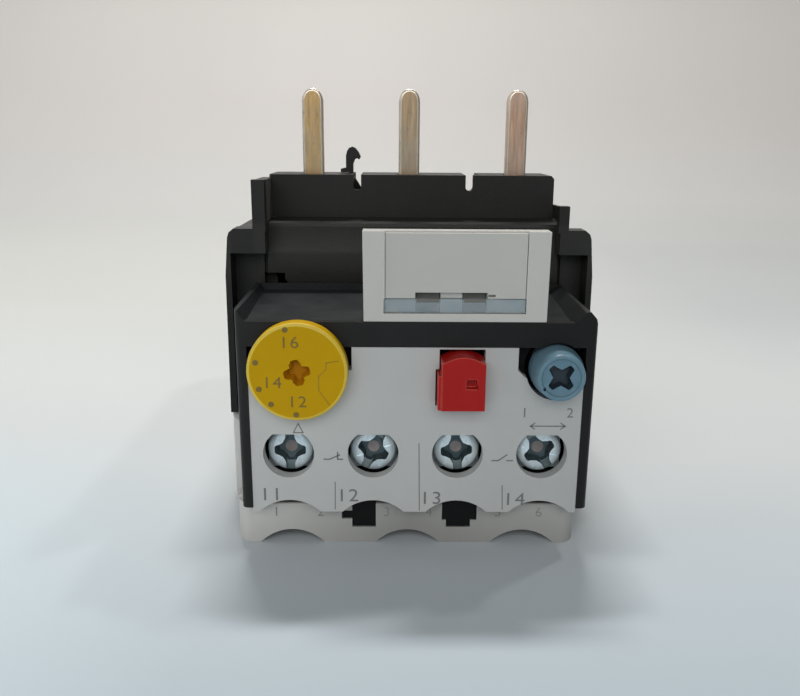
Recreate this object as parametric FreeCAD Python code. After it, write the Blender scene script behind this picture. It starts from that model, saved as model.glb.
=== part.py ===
import FreeCAD, Part
import os
import math

os.makedirs("parts", exist_ok=True)
V = FreeCAD.Vector

# ---------------------------------------------------------------- driving dimensions (mm)
# +X right seen from the front, +Y towards the back, +Z up, origin at the bottom centre
BODY_W = 45.0            # overall width, rear housing and base
DEPTH_FRONT = -38.0      # face of the reset knob
DEPTH_BACK = 38.0        # face of the rear cover
BEZEL_Y = -35.5          # front plane of the front housing
XF = 0.55                # centre of the front housing in X
BEZEL_W = 38.46          # width of the front housing
BEZEL_LEG = 1.2          # thickness of its two legs
BEZEL_Z0 = 5.3           # bottom of the legs
LIP_Z = 26.6             # top of the front bar
RIM_Z = 27.75            # top of the tray rim
TRAY_Z = 26.4            # tray floor
BAR_Z = 23.9             # underside of the front bar
FRONT_BACK_Y = -18.8     # back of the front housing
BASE_TOP = 11.4          # parting line between base and rear housing
REAR_FRONT_Y = -21.0     # shoulder front of the rear housing
REAR_BACK_Y = 36.35      # back of the rear housing shell
SHOULDER_Z = 34.65       # top of the shoulders
TOWER_Z = 40.75          # top of the blade tower
TOWER_X0, TOWER_X1 = -18.0, 18.5
TOWER_LOW_Y = -18.4      # front of the lower tower step
TOWER_UP_Y = -13.9       # front of the upper tower step
TOWER_BACK_Y = -5.9
WALL = 1.6
POLE_X = (-12.35, 0.02, 13.85)     # line blades
LOAD_X = (-13.4, -0.2, 13.0)       # load terminals
BLADE_W, BLADE_T, BLADE_TIP = 2.7, 1.5, 51.3
BLADE_Y = -10.5
STRIP_Y = 14.0           # middle of the bimetal strips
STRIP_W, STRIP_T = 6.0, 0.8
STRIP_ROOT_Z = 6.95      # hinge line of the strips
AUX_X = tuple(XF + a for a in (-13.9, -4.63, 4.63, 13.9))
AUX_Z = 11.6
AUX_HOLE_R = 2.85
AUX_HEAD_R = 2.57
DIAL_X, DIAL_Z, DIAL_R = -11.95, 21.6, 5.3
KNOB_X, KNOB_Z, KNOB_R = 15.6, 21.27, 2.85
TEST_X0, TEST_X1, TEST_Z0, TEST_Z1 = 3.15, 7.75, 17.5, 23.4
LEVER_X, LEVER_Y = 17.3, -10.0     # trip lever pivot
RESET_PIN_Z = 17.5       # reset lever pivot


# ---------------------------------------------------------------- helpers
def box(x0, x1, y0, y1, z0, z1):
    return Part.makeBox(x1 - x0, y1 - y0, z1 - z0, V(x0, y0, z0))


def cyl_y(x, z, r, y0, y1):
    return Part.makeCylinder(r, y1 - y0, V(x, y0, z), V(0, 1, 0))


def cyl_z(x, y, r, z0, z1):
    return Part.makeCylinder(r, z1 - z0, V(x, y, z0), V(0, 0, 1))


def cyl_x(y, z, r, x0, x1):
    return Part.makeCylinder(r, x1 - x0, V(x0, y, z), V(1, 0, 0))


def cone_y(x, z, r0, r1, y0, y1):
    return Part.makeCone(r0, r1, y1 - y0, V(x, y0, z), V(0, 1, 0))


def prism_y(points, y0, y1):
    # a polygon in the XZ plane, extruded along Y
    w = Part.makePolygon([V(x, y0, z) for x, z in points] + [V(points[0][0], y0, points[0][1])])
    return Part.Face(w).extrude(V(0, y1 - y0, 0))


def prism_x(points, x0, x1):
    # a polygon in the YZ plane, extruded along X
    w = Part.makePolygon([V(x0, y, z) for y, z in points] + [V(x0, points[0][0], points[0][1])])
    return Part.Face(w).extrude(V(x1 - x0, 0, 0))


def prism_z(points, z0, z1):
    w = Part.makePolygon([V(x, y, z0) for x, y in points] + [V(points[0][0], points[0][1], z0)])
    return Part.Face(w).extrude(V(0, 0, z1 - z0))


def fuse(shapes):
    s = shapes[0].multiFuse(shapes[1:]) if len(shapes) > 1 else shapes[0]
    return s.removeSplitter()


def cut(s, tools):
    for t in tools:
        s = s.cut(t)
    return s


def round_edges(s, r, keep):
    # rounds the edges that the test picks, one by one if they refuse together
    edges = [e for e in s.Edges if keep(e)]
    if not edges:
        return s
    try:
        f = s.makeFillet(r, edges)
        if f.isValid() and len(f.Solids) == len(s.Solids):
            return f
    except Exception:
        pass
    return s


def along(e, axis):
    if len(e.Vertexes) != 2:
        return False
    a, b = e.Vertexes[0].Point, e.Vertexes[1].Point
    d = b - a
    if d.Length < 1e-6:
        return False
    d.normalize()
    return abs(abs(d.dot(axis)) - 1) < 1e-6


def cross_recess(x, z, y0, depth, span, width, turn):
    # a cross-shaped driver recess with tapered arms, its mouth at y0
    arms = []
    for k in (0, 90):
        b = box(-span / 2, span / 2, y0 - 0.3, y0 + depth, -width / 2, width / 2)
        b.rotate(V(0, 0, 0), V(0, 1, 0), k + turn)
        arms.append(b)
    s = arms[0].fuse(arms[1])
    s.translate(V(x, 0, z))
    return s


def coil_y(x, z, r, wire, y0, y1, turns):
    # a round-wire compression spring along Y with its ends inside y0..y1
    length = (y1 - y0) - 2 * wire
    helix = Part.makeHelix(length / turns, length, r)
    start = V(r, 0, 0)
    prof = Part.Wire([Part.makeCircle(wire, start, V(0, 1, 0))])
    s = Part.Wire(helix.Edges).makePipeShell([prof], True, True)
    s = s if s.ShapeType == "Solid" else Part.Solid(s)
    s.rotate(V(0, 0, 0), V(1, 0, 0), -90)
    s.translate(V(x, y0 + wire, z))
    return s


NODES = {}


def put(name, *solids):
    out = []
    for s in solids:
        out.extend(s.Solids)
    NODES[name] = out


# ---------------------------------------------------------------- base housing (light grey)
xb0, xb1 = -19.75, 19.15
front_block = prism_x([(-33.5, 0), (-33.5, 4.78), (-33.38, 4.9), (-32.2, 4.9), (-32.2, 5.3), (-20.0, 5.3), (-20.0, 0)], xb0, xb1)
front_sides = fuse([
    front_block,
    box(-22.5, 22.5, REAR_FRONT_Y, REAR_BACK_Y, 0, BASE_TOP),
])
# rounded upright corners at the front and back
front_sides = round_edges(front_sides, 1.7, lambda e: along(e, V(0, 0, 1)) and abs(e.Vertexes[0].Point.y + 33.5) < 0.01)
front_sides = round_edges(front_sides, 1.4, lambda e: along(e, V(0, 0, 1)) and abs(e.Vertexes[0].Point.y - REAR_FRONT_Y) < 0.01 and abs(abs(e.Vertexes[0].Point.x) - 22.5) < 0.01)
base = front_sides
# inside of the rear part
base = base.cut(box(-22.5 + WALL, 22.5 - WALL, -18.9, REAR_BACK_Y - WALL, WALL, BASE_TOP + 1))
# room above the base in front of the rear part, where the front housing stands
base = base.cut(box(-18.9, 20.0, -21.5, -18.6, 5.3, BASE_TOP + 1))
# sloped top of the front edges of the two side walls
for sx in (-1, 1):
    base = base.cut(prism_x([(REAR_FRONT_Y - 0.1, BASE_TOP + 0.1), (REAR_FRONT_Y - 0.1, BASE_TOP - 1.3), (REAR_FRONT_Y + 1.6, BASE_TOP + 0.1)],
                            min(sx * 19.0, sx * 23.0), max(sx * 19.0, sx * 23.0)))
# wire funnels, sloping up from the lower front edge
FUN_SLOPE = math.atan2(4.2 + 5.25, 14.0)
funnels = []
for x in LOAD_X:
    d = V(0, math.cos(FUN_SLOPE), math.sin(FUN_SLOPE))
    start = V(x, -33.5, -4.6) - d * 3.0
    funnels.append(Part.makeCone(6.2, 2.75, 21.5, start, d))
base = cut(base, funnels)
# latch windows in the front face
base = base.cut(box(-6.54, -3.83, -34.0, -31.5, 1.92, 6.0))
base = base.cut(box(-7.72, -6.4, -34.0, -31.5, 2.95, 3.98))
base = base.cut(box(3.76, 7.74, -34.0, -31.5, 2.8, 6.0))
base = base.cut(box(4.24, 7.01, -34.0, -31.5, 1.92, 3.0))
# narrow gaps under the outer scallops of the panel
for x in (AUX_X[0], AUX_X[3]):
    base = base.cut(box(x - 1.7, x + 1.7, -33.1, -32.0, 3.7, 6.0))
# screw holes in the floor and the seats of the load bars
for x in LOAD_X:
    base = base.cut(cyl_z(x, -14.0, 4.3, -1, WALL + 1))
    base = base.fuse(fuse([box(x - 2.4, x + 2.4, -6.0, -4.0, WALL - 0.1, 4.98), box(x - 2.4, x + 2.4, 8.0, 10.0, WALL - 0.1, 4.98)]))
# foot of the trip lever pin
base = base.fuse(cyl_z(LEVER_X, LEVER_Y, 1.65, WALL - 0.1, 13.0)).cut(cyl_z(LEVER_X, LEVER_Y, 0.9, 10.5, 14.0))
base = base.removeSplitter()
put("base_housing", base)

# ---------------------------------------------------------------- rear housing (black)
outline = [(-22.5, BASE_TOP), (22.5, BASE_TOP), (22.35, 29.0), (21.95, 33.6), (21.75, 34.2), (21.2, SHOULDER_Z),
           (-21.2, SHOULDER_Z), (-21.75, 34.2), (-21.95, 33.6), (-22.35, 29.0)]
outer = prism_y(outline, REAR_FRONT_Y, REAR_BACK_Y)
outer = outer.cut(box(-30, 30, REAR_FRONT_Y - 1, -18.0, BASE_TOP - 1, 31.7).cut(box(-22.6, -21.65, -22, -17.9, BASE_TOP - 1, 31.7)).cut(box(21.65, 22.6, -22, -17.9, BASE_TOP - 1, 31.7)))
# the shoulders' band only stands forward outside the tower
outer = outer.cut(box(-17.4, 18.15, REAR_FRONT_Y - 1, -18.0, 31.0, 35.0))
# sloped rear top edge
outer = outer.cut(prism_x([(32.0, SHOULDER_Z + 0.1), (REAR_BACK_Y + 0.1, SHOULDER_Z + 0.1), (REAR_BACK_Y + 0.1, 31.0)], -30, 30))
low = prism_x([(TOWER_LOW_Y + 0.3, 27.0), (TOWER_LOW_Y, 31.2), (TOWER_LOW_Y + 0.75, 35.0), (TOWER_UP_Y, 35.45), (TOWER_UP_Y - 1.5, 31.2), (-17.0, 27.0)], -18.0, 18.95)
up = prism_y([(TOWER_X0, 33.0), (TOWER_X1, 33.0), (TOWER_X1 - 0.05, TOWER_Z - 0.4), (TOWER_X1 - 0.4, TOWER_Z), (TOWER_X0 + 0.25, TOWER_Z), (TOWER_X0 + 0.05, TOWER_Z - 0.2)],
             TOWER_UP_Y, TOWER_BACK_Y)
# sloped left front edge of the upper tower
up = up.cut(prism_z([(TOWER_X0 - 0.1, TOWER_UP_Y - 0.1), (TOWER_X0 + 0.45, TOWER_UP_Y - 0.1), (TOWER_X0 - 0.1, TOWER_UP_Y + 2.2)], 35.58, 42.0))
shell = fuse([outer, low, up])
# uprights on the shoulders
left_ear = fuse([box(-18.85, -17.3, REAR_FRONT_Y, -19.6, 34.3, 40.4),
                 prism_z([(-18.85, -19.7), (-17.32, -19.7), (-17.5, -13.5), (-17.5, -12.0), (-18.85, -12.0)], 34.3, 40.3)])
right_ear = fuse([box(17.92, 19.14, REAR_FRONT_Y, -19.6, 34.3, 37.5), box(18.79, 19.14, -19.7, -12.0, 34.3, 37.05)])
shell = fuse([shell, left_ear, right_ear])
# the inside
inner = prism_y([(-20.9, BASE_TOP - 1), (20.9, BASE_TOP - 1), (20.7, 32.2), (20.1, 32.8), (-20.1, 32.8), (-20.7, 32.2)], -15.2, REAR_BACK_Y + 1)
inner = inner.cut(prism_x([(30.4, 33.0), (REAR_BACK_Y + 1.1, 33.0), (REAR_BACK_Y + 1.1, 28.9)], -30, 30))
shell = shell.cut(inner)
shell = shell.cut(box(TOWER_X0 + 1.6, TOWER_X1 - 1.6, TOWER_UP_Y + 1.5, TOWER_BACK_Y - 1.5, 32.0, 37.2))
# recesses beside the lower step, and its small corner cut
shell = shell.cut(box(-21.65, -18.02, -19.0, -17.8, BASE_TOP + 1, 31.7)).cut(box(18.97, 21.65, -19.0, -17.8, BASE_TOP + 1, 31.7))
shell = shell.cut(box(-18.1, -15.5, -18.9, -16.2, 24.0, 28.9))
shell = shell.cut(prism_y([(-17.05, 28.85), (-16.1, 28.85), (-15.1, 27.6), (-15.1, 26.6), (-16.7, 26.6), (-16.7, 27.9)], -18.9, -15.0))
# the shoulders are lower behind their front band
shell = shell.cut(box(19.2, 23.0, -18.2, REAR_BACK_Y + 1, 33.6, 35.0)).cut(box(-23.0, -18.9, -18.2, REAR_BACK_Y + 1, 34.2, 35.0))
# chamfered upright edges of the lower step
shell = shell.cut(prism_z([(-18.01, -18.45), (-17.45, -18.45), (-18.01, -17.75)], 26.9, 35.4))
shell = shell.cut(prism_z([(18.96, -18.45), (18.4, -18.45), (18.96, -17.75)], 26.9, 35.4))
# blade slots, notches and the hook's slot in the tower top
for x in POLE_X:
    shell = shell.cut(box(x - BLADE_W / 2 - 0.15, x + BLADE_W / 2 + 0.15, BLADE_Y - BLADE_T / 2 - 0.15, BLADE_Y + BLADE_T / 2 + 0.15, 30, 42))
for x in (XF - 7.15, XF + 7.15):
    shell = shell.cut(fuse([box(x - 0.5, x + 0.5, TOWER_UP_Y - 1, TOWER_BACK_Y + 1, TOWER_Z - 1.5, TOWER_Z + 1),
                            cyl_y(x, TOWER_Z - 1.45, 0.5, TOWER_UP_Y - 1, TOWER_BACK_Y + 1)]))
# the notches open out behind the front wall
shell = shell.cut(box(XF + 7.15 - 0.5, XF + 7.15 + 1.3, TOWER_UP_Y + 1.5, TOWER_BACK_Y + 1, 37.9, TOWER_Z + 1))
shell = shell.cut(box(XF - 7.15 - 0.5, XF - 7.15 + 0.5, TOWER_UP_Y + 1.5, TOWER_BACK_Y + 1, 38.2, TOWER_Z + 1))
shell = shell.cut(box(-8.0, XF - 7.15 + 0.5, -9.6, -7.4, 36.0, 41.0))
# passage of the carrier rod through the front wall
shell = shell.cut(box(0.6, 3.2, -19.5, -15.0, 16.6, 19.4))
# corner pillars that take the cover screws
SCREW_POS = [(-18.4, 14.2), (18.4, 14.2), (-18.2, 27.4), (18.2, 27.4)]
for x, z in SCREW_POS:
    xo = 21.2 if x > 0 else -21.2
    shell = shell.fuse(box(min(x - (2.2 if x > 0 else 0), xo), max(x + (0 if x > 0 else 2.2), xo), 26.0, REAR_BACK_Y, z - 2.2, z + 2.2))
for x, z in SCREW_POS:
    shell = shell.cut(cyl_y(x, z, 1.3, 25.9, REAR_BACK_Y + 1))
# top bearing of the trip lever pin
shell = shell.fuse(cyl_z(LEVER_X, LEVER_Y, 1.65, 31.5, 33.0)).cut(cyl_z(LEVER_X, LEVER_Y, 0.9, 31.0, 32.3))
shell = shell.removeSplitter()
put("rear_housing", shell)

# ---------------------------------------------------------------- rear cover and its screws
cov = prism_y([(-22.5, 0), (22.5, 0), (22.5, BASE_TOP), (22.2, 28.0), (21.6, 30.6), (-21.6, 30.6), (-22.2, 28.0), (-22.5, BASE_TOP)],
              REAR_BACK_Y + 0.05, DEPTH_BACK)
for x, z in SCREW_POS:
    cov = cov.cut(cyl_y(x, z, 1.65, 36, 39)).cut(cyl_y(x, z, 2.9, 37.0, 39))
# shallow rib field on the back face
cov = cov.cut(box(-13.5, 13.5, 37.4, 39, 5.0, 25.0))
for k in range(-2, 3):
    cov = cov.fuse(box(k * 5.2 - 0.5, k * 5.2 + 0.5, 37.3, DEPTH_BACK, 4.9, 25.1))
cov = cov.removeSplitter()
put("rear_cover", cov)

screws = []
for x, z in SCREW_POS:
    s = fuse([cyl_y(x, z, 2.6, 37.05, 37.9), cyl_y(x, z, 1.25, 29.0, 37.2)])
    c = cross_recess(0, 0, 0, 0.6, 2.4, 0.6, 15)
    c.rotate(V(0, 0, 0), V(0, 0, 1), 180)
    c.translate(V(x, 37.9, z))
    screws.append(s.cut(c))
put("housing_screws", *screws)

# ---------------------------------------------------------------- front housing (black frame with the tray on top)
fx0, fx1 = XF - BEZEL_W / 2, XF + BEZEL_W / 2
fb = box(fx0, fx1, BEZEL_Y, FRONT_BACK_Y, BEZEL_Z0, RIM_Z)
fb = round_edges(fb, 0.7, lambda e: along(e, V(0, 0, 1)) and abs(e.Vertexes[0].Point.y - BEZEL_Y) < 0.01)
# the rim slopes down at its right edge
fb = fb.cut(prism_y([(fx1 + 0.1, RIM_Z + 0.1), (fx1 - 1.0, RIM_Z + 0.1), (fx1 - 0.25, 27.0), (fx1 + 0.1, 26.0)], BEZEL_Y - 1, FRONT_BACK_Y + 1))
tray = Part.makeLoft([Part.makePolygon([V(a, y, z), V(b, y, z), V(c, y, RIM_Z + 0.1), V(d, y, RIM_Z + 0.1), V(a, y, z)])
                      for y, a, b, c, d, z in ((BEZEL_Y - 1, -17.5, 16.9, 18.4, -18.4, TRAY_Z), (-19.2, -17.95, 17.4, 18.8, -18.45, TRAY_Z + 0.6))], True, True)
tray = tray.cut(box(-30, 30, BEZEL_Y - 2, BEZEL_Y + 1.0, 20, LIP_Z))
fb = fb.cut(tray)
# the inside
fb = fb.cut(box(fx0 + BEZEL_LEG, fx1 - BEZEL_LEG, BEZEL_Y - 1, -20.0, BEZEL_Z0 - 1, BAR_Z))
fb = fb.cut(box(fx0 + BEZEL_LEG, fx1 - BEZEL_LEG, BEZEL_Y + 1.6, -20.0, BEZEL_Z0 - 1, 25.2))
# clearances for the dial hub, the knob and the carrier rod
fb = fb.cut(cyl_y(DIAL_X, DIAL_Z, 2.9, BEZEL_Y - 1, -33.0))
fb = fb.cut(cyl_y(KNOB_X, KNOB_Z, KNOB_R + 0.3, BEZEL_Y - 1, -33.0))
fb = fb.cut(box(0.6, 3.2, -20.5, -18.0, 16.6, 19.4))
# seats of the label holder
LH_FOOT = [(-3.0, -1.0), (10.2, 12.2)]
for a, b in LH_FOOT:
    fb = fb.cut(box(a - 0.1, b + 0.1, -34.3, -33.3, 24.5, 27))
# two catches that the label holder snaps over
CATCH = [(0.47, 2.92), (5.42, 7.81)]
fb = fuse([fb] + [box(a, b, -34.1, -33.35, 26.2, 29.7) for a, b in CATCH])
# the rim stands out a little at its left edge
fb = fuse([fb, prism_z([(fx0 + 0.15, -34.3), (fx0 - 0.12, -34.1), (fx0 - 0.3, -24.0), (fx0 - 0.3, FRONT_BACK_Y - 0.05), (fx0 + 0.15, FRONT_BACK_Y - 0.05)], 25.65, RIM_Z - 0.02)])
put("front_housing", fb)

# ---------------------------------------------------------------- auxiliary terminal panel (light grey)
px0, px1 = fx0 + BEZEL_LEG + 0.03, fx1 - BEZEL_LEG - 0.03
panel = box(px0, px1, BEZEL_Y + 0.1, -33.6, 4.8, 23.85)
panel = panel.cut(cyl_y(DIAL_X, DIAL_Z, 5.1, -37, -33)).cut(box(px0 - 1, DIAL_X, -37, -33, DIAL_Z, 25)).cut(box(DIAL_X, -6.35, -37, -33, 21.3, 25))
panel = panel.cut(cyl_y(KNOB_X - 0.05, KNOB_Z, 3.22, -37, -33)).cut(box(KNOB_X, px1 + 1, -37, -33, KNOB_Z, 25)).cut(prism_y([(11.43, 25), (11.43, 21.35), (12.3, 20.5), (KNOB_X, 20.5), (KNOB_X, 25)], -37, -33))
for x in AUX_X:
    # opening with a flat top, wider behind for the screw head
    panel = panel.cut(cyl_y(x, AUX_Z + 0.12, AUX_HOLE_R - 0.05, -37, -33).common(box(x - 3, x + 3, -38, -32, 8.0, 13.98)))
    panel = panel.cut(cyl_y(x, AUX_Z, AUX_HOLE_R, -34.2, -33))
    panel = panel.cut(cyl_y(x, 6.2 - 4.8, 4.8, -37, -33))
panel = panel.cut(box(TEST_X0 - 0.15, TEST_X1 + 0.15, -37, -33, TEST_Z0 - 0.15, TEST_Z1 + 0.25))
panel = panel.cut(box(TEST_X0 - 0.53, TEST_X0, -37, -33, TEST_Z0 - 0.15, 21.45))
put("aux_terminal_panel", panel.removeSplitter())

# ---------------------------------------------------------------- auxiliary terminal block (black)
blk = box(-17.3, 18.4, -33.4, -22.2, 5.5, 16.5)
for x in AUX_X:
    blk = blk.cut(box(x - 3.3, x + 3.3, -34, -30.0, 5.0, 15.0))
    blk = blk.cut(cyl_y(x, AUX_Z, 1.8, -31, -24.6))
    # the driver opening above the wire space
    blk = blk.cut(box(x - 2.6, x + 2.6, -30.1, -28.75, 8.4, 17.0 if x < 1 else 15.3))
for x in AUX_X[2:]:
    blk = blk.cut(box(x - 1.3, x + 1.3, -30.1, -23.2, 15.1, 17.0))
blk = blk.cut(box(11.3, 13.4, -24.6, -23.0, 15.1, 17.0))
blk = cut(blk, funnels)
# latch lugs that show in the windows of the base
blk = fuse([blk, box(-6.47, -3.9, -33.35, -31.6, 1.99, 6.0), box(-7.65, -6.42, -33.35, -31.6, 3.02, 3.91), box(-6.47, -3.9, -31.7, -29.5, 5.4, 6.0),
            box(4.31, 6.94, -33.35, -31.6, 1.99, 3.1), box(3.83, 7.67, -33.35, -31.6, 2.87, 6.0), box(3.83, 7.67, -31.7, -29.5, 5.4, 6.0)])
# lugs of the reset lever pin
blk = fuse([blk, box(13.55, 14.4, -24.6, -23.0, 16.4, 18.4), box(16.4, 17.25, -24.6, -23.0, 16.4, 18.4)])
blk = blk.cut(cyl_x(-23.8, RESET_PIN_Z, 0.5, 13.0, 18.0))
put("aux_terminal_block", blk)

# ---------------------------------------------------------------- mechanism frame (black plate behind the panel)
fr = box(-17.4, 18.5, -33.2, -31.8, 16.7, 25.1)
fr = fr.fuse(fuse([cyl_y(KNOB_X, KNOB_Z, 3.75, -33.2, -28.4), box(1.9, 8.7, -33.2, -28.4, 16.7, 24.4)]))
fr = fr.common(box(-17.4, 18.5, -34, -20, 16.7, 25.1))
fr = fr.cut(cyl_y(KNOB_X, KNOB_Z, 3.15, -34, -29.4)).cut(cyl_y(KNOB_X, KNOB_Z, 1.25, -34, -20))
fr = fr.cut(box(TEST_X0 - 0.15, TEST_X1 + 0.15, -34, -29.4, TEST_Z0 - 0.15, TEST_Z1 + 0.25)).cut(box(4.5, 6.4, -34, -20, 19.4, 21.3))
fr = fr.cut(box(TEST_X0 - 0.53, TEST_X0, -34, -29.4, TEST_Z0 - 0.15, 21.45))
fr = fr.cut(cyl_y(DIAL_X, DIAL_Z, 1.55, -34, -20))
fr = fr.cut(cyl_y(-9.7, 17.7, 0.6, -34, -20))
put("mechanism_frame", fr.removeSplitter())

# ---------------------------------------------------------------- label holder, insert and window
def lh_poly(x0t, x1t, x0b, x1b, z0, z1):
    return [(x0b, z0), (x1b, z0), (x1t, z1), (x0t, z1)]


lh = prism_y(lh_poly(-5.15, 14.25, -5.05, 14.2, 26.65, 36.1), -35.4, -33.2)
lh = lh.cut(box(-2.84, 11.95, -36, -34.6, 29.05, 36.5))         # seat of the insert, open at the top
lh = lh.cut(box(-2.95, 12.0, -36, -34.25, 27.5, 29.05))         # the window slot
lh = lh.cut(box(-2.2, 11.3, -34.1, -33.0, 29.9, 35.2))          # hollow back
lh = cut(lh, [box(a - 0.1, b + 0.1, -34.7, -33.0, 26.0, 29.8) for a, b in CATCH])
lh = fuse([lh] + [box(a, b, -34.2, -33.4, 25.4, 26.7) for a, b in LH_FOOT])
put("label_holder", lh)
put("label_insert", box(-2.8, 11.9, -35.2, -34.65, 29.1, 35.9).cut(box(0.35, 7.93, -36, -34, 29.0, 29.72)).cut(box(7.8, 8.75, -36, -34, 29.28, 29.5)))
put("label_window", box(-2.9, 11.95, -35.1, -34.6, 27.55, 29.0))

# ---------------------------------------------------------------- hook that catches the contactor
hook = prism_y([(-7.85, 37.0), (-6.15, 37.0), (-6.15, 38.6), (-7.25, 40.4), (-7.33, 41.0), (-7.33, 41.9), (-7.1, 42.5), (-6.78, 42.68), (-6.52, 42.5),
                (-6.33, 42.85), (-6.6, 43.45), (-7.0, 43.95), (-7.42, 44.15), (-7.8, 44.02), (-8.1, 43.6), (-8.25, 43.0), (-8.25, 41.45), (-8.95, 41.3),
                (-8.95, 40.87), (-7.85, 40.87)], -9.4, -7.6)
hook = fuse([hook, box(-8.6, -5.2, -9.3, -7.7, 36.1, 37.1)])
put("contactor_hook", hook)

# ---------------------------------------------------------------- the three poles
for k in range(3):
    x, xl = POLE_X[k], LOAD_X[k]
    y0, y1 = BLADE_Y - BLADE_T / 2, BLADE_Y + BLADE_T / 2
    half = [(BLADE_W / 2, 27.0), (BLADE_W / 2, BLADE_TIP - 1.5), (1.27, BLADE_TIP - 1.05), (1.08, BLADE_TIP - 0.6), (0.78, BLADE_TIP - 0.25), (0.4, BLADE_TIP - 0.04)]
    tip = [(x + a, z) for a, z in half] + [(x, BLADE_TIP)] + [(x - a, z) for a, z in reversed(half)]
    blade = fuse([prism_y(tip, y0, y1), box(x - BLADE_W / 2, x + BLADE_W / 2, y0, STRIP_Y - 3.2, 25.8, 27.2)])
    put("line_blade_l%d" % (k + 1), blade)

    # bimetal strip with a rounded root
    zt = STRIP_ROOT_Z
    strip = fuse([box(x - STRIP_T / 2, x + STRIP_T / 2, STRIP_Y - STRIP_W / 2, STRIP_Y + STRIP_W / 2, zt, 31.9),
                  cyl_y(x, zt, STRIP_T / 2, STRIP_Y - STRIP_W / 2, STRIP_Y + STRIP_W / 2)])
    put("bimetal_strip_l%d" % (k + 1), strip)

    # heater ribbon wound round the strip, with its two tails
    rings = []
    for n in range(7):
        z = 9.2 + n * 2.2
        ring = box(x - 3.2, x + 3.2, STRIP_Y - 4.6, STRIP_Y + 4.6, z, z + 1.2).cut(box(x - 2.3, x + 2.3, STRIP_Y - 3.7, STRIP_Y + 3.7, z - 1, z + 2))
        rings.append(ring)
        if n < 6:
            yy = STRIP_Y - 4.6 if n % 2 else STRIP_Y + 3.7
            rings.append(box(x - 1.0, x + 1.0, yy, yy + 0.9, z + 1.1, z + 2.3))
    rings.append(box(x - 1.2, x + 1.2, STRIP_Y - 4.6, STRIP_Y - 3.7, 23.5, 25.8))
    rings.append(box(x - 1.2, x + 1.2, STRIP_Y - 4.6, STRIP_Y - 3.7, 6.5, 9.4))
    put("heater_winding_l%d" % (k + 1), fuse(rings))

    # load bar from the foot of the heater to the clamp
    bar = prism_z([(xl - 2.4, -18.2), (xl + 2.4, -18.2), (xl + 2.4, 2.0), (x + 2.4, 6.0), (x + 2.4, STRIP_Y + 3.6), (x - 2.4, STRIP_Y + 3.6), (x - 2.4, 6.0), (xl - 2.4, 2.0)], 5.0, 6.5)
    bar = bar.cut(cyl_z(xl, -14.0, 2.05, 4, 8))
    bar = bar.fuse(cyl_z(xl, -14.0, 3.2, 6.5, 8.4).cut(cyl_z(xl, -14.0, 2.05, 4, 9)))
    put("load_bar_t%d" % (k + 1), bar.removeSplitter())

plates, mscrews = [], []
for x in LOAD_X:
    plates.append(box(x - 4.2, x + 4.2, -17.7, -11.75, 2.7, 3.5).cut(cyl_z(x, -14.0, 2.2, 2, 4)))
    s = fuse([cyl_z(x, -14.0, 3.7, 0.5, 2.68), cyl_z(x, -14.0, 2.0, 2.5, 9.6)])
    c = cross_recess(0, 0, 0, 1.4, 3.6, 0.9, 20)
    c.rotate(V(0, 0, 0), V(1, 0, 0), 90)
    c.translate(V(x, -14.0, 0.5))
    mscrews.append(s.cut(c))
put("main_clamp_plates", *plates)
put("main_terminal_screws", *mscrews)

# walls between the poles, notched where the slides pass
bars = []
for x in (-6.5, 6.7):
    b = box(x - 0.6, x + 0.6, -6.9, 34.4, WALL + 0.02, 32.6)
    b = b.cut(box(x - 1, x + 1, STRIP_Y - 5.2, STRIP_Y + 5.2, 29.05, 33))
    b = b.cut(box(x - 1, x + 1, 31.0, 35.0, 26.0, 33))
    bars.append(b)
put("pole_barriers", *bars)

# ---------------------------------------------------------------- auxiliary terminals
TURNS = (0, -25, 5, 30)
ascrews, aplates = [], []
for x, t in zip(AUX_X, TURNS):
    s = fuse([cyl_y(x, AUX_Z, AUX_HEAD_R, -34.0, -32.2), cyl_y(x, AUX_Z, 1.45, -32.4, -25.6)])
    s = s.cut(cross_recess(x, AUX_Z, -34.0, 1.1, 3.3, 0.85, t))
    ascrews.append(s)
    aplates.append(box(x - 2.7, x + 2.7, -32.18, -31.5, 8.9, 14.1).cut(cyl_y(x, AUX_Z, 1.6, -33, -31)))
put("aux_terminal_screws", *ascrews)
put("aux_clamp_plates", *aplates)

nc, no = [], []
for k, x in enumerate(AUX_X):
    if k < 2:
        b = fuse([box(x - 2.4, x + 2.4, -30.0, -28.8, 8.6, 14.6), box(x - 1.2, x + 1.2, -30.0, -28.8, 14.5, 18.7)])
    else:
        tx = x if k == 2 else 12.4
        b = fuse([box(x - 2.4, x + 2.4, -30.0, -28.8, 8.6, 15.2), box(x - 1.1, x + 1.1, -30.0, -23.35, 15.15, 16.05),
                  box(min(tx - 0.9, x - 1.1), max(tx + 0.9, x + 1.1) if k == 2 else x + 1.1, -24.37, -23.35, 15.2, 16.05),
                  box(tx - 0.9, tx + 0.9, -24.37, -23.35, 15.2, 18.7)])
    b = b.cut(cyl_y(x, AUX_Z, 1.5, -31, -28))
    (nc if k < 2 else no).append(b)
put("aux_bars_nc", *nc)
put("aux_bars_no", *no)

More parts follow.
